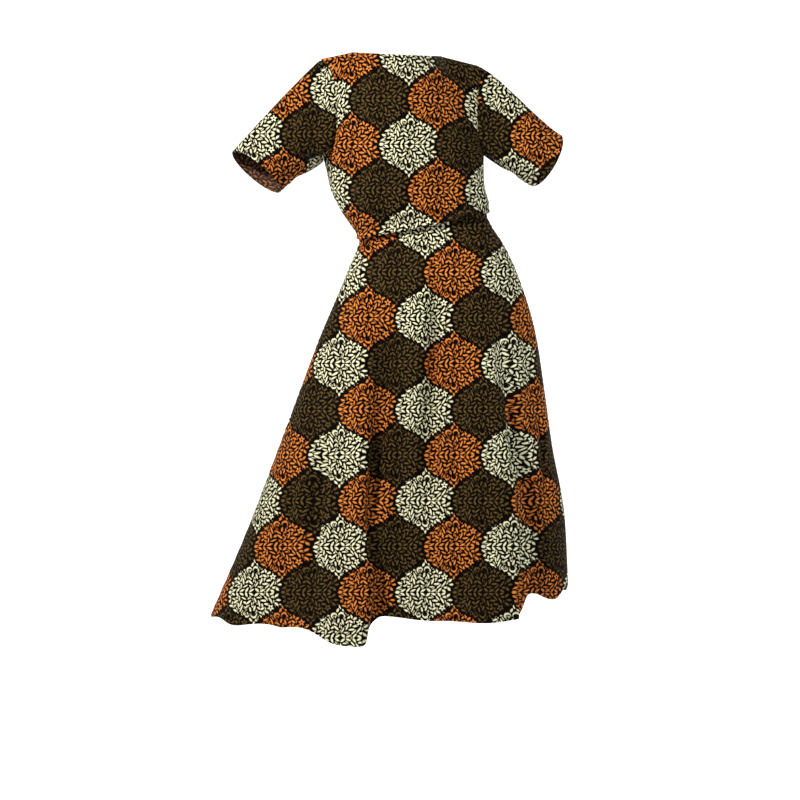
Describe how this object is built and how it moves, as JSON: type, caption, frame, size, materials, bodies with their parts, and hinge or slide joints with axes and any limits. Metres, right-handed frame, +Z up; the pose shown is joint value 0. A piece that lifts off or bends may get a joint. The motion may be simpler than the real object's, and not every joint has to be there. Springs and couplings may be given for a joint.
{
  "type": "two-piece skirt set with cropped top",
  "caption": "Cropped short-sleeved top with a high wide neckline over a flared midi skirt, worn and hollow, in a printed cotton of leafy ogee tiles.",
  "frame": {"origin": "middle of the waist, where the wearer holds the skirt up and the top's hem meets it", "axes": "+Z up, the front of the garment faces -Y, the wearer's left is +X"},
  "size_m": [0.7916, 0.6115, 1.2349],
  "materials": {
    "top_print": "matt printed cotton, leafy ogee tiles in cream, orange and brown on black",
    "sleeve_print": "matt printed cotton, leafy ogee tiles in cream, orange and brown on black",
    "skirt_print": "matt printed cotton, leafy ogee tiles in cream, orange and brown on black",
    "waistband_print": "matt printed cotton, softly gathered over elastic"
  },
  "bodies": {
    "root": {"top_front": "top_print", "top_back": "top_print", "sleeve_right": "sleeve_print", "sleeve_left": "sleeve_print", "skirt_front": "skirt_print", "skirt_back": "skirt_print", "waistband": "waistband_print"}
  },
  "joints": []
}
